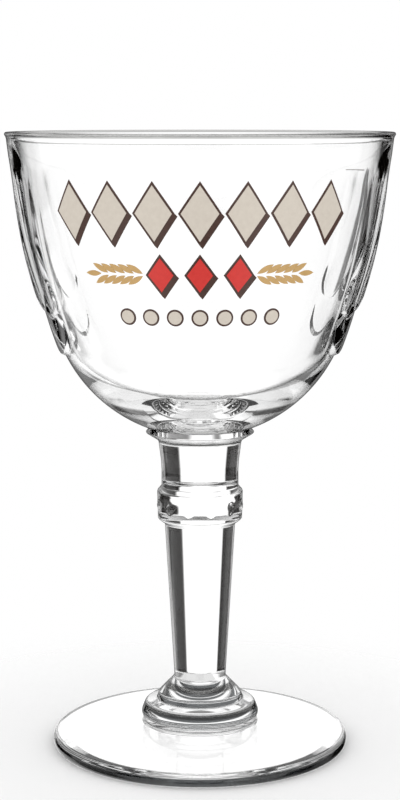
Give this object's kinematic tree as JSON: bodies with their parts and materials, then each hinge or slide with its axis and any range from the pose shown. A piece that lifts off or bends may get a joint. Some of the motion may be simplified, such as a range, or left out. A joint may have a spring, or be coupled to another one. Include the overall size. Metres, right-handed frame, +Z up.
{
  "type": "chalice beer glass",
  "caption": "Stemmed chalice beer glass: deep pressed bowl with side panels and an enamel frieze, merese, collared stem, stepped base and round foot.",
  "frame": {"origin": "middle of the foot, on the table", "axes": "+Z up along the stem, -Y towards the printed front, +X to the right of the print's viewer"},
  "size_m": [0.1052, 0.1052, 0.17],
  "materials": {
    "clear_glass": "fire-polished clear soda-lime glass",
    "enamel_brown": "fired glossy enamel",
    "enamel_cream": "fired glossy enamel",
    "enamel_red": "fired glossy enamel",
    "enamel_gold": "fired ochre-gold enamel"
  },
  "bodies": {
    "root": {"bowl": "clear_glass", "merese": "clear_glass", "upper_stem": "clear_glass", "stem_collar": "clear_glass", "lower_stem": "clear_glass", "base_bell": "clear_glass", "base_ring": "clear_glass", "foot": "clear_glass", "print_brown": "enamel_brown", "print_cream": "enamel_cream", "print_red": "enamel_red", "print_gold": "enamel_gold", "fill_mark": "enamel_brown"}
  },
  "joints": []
}
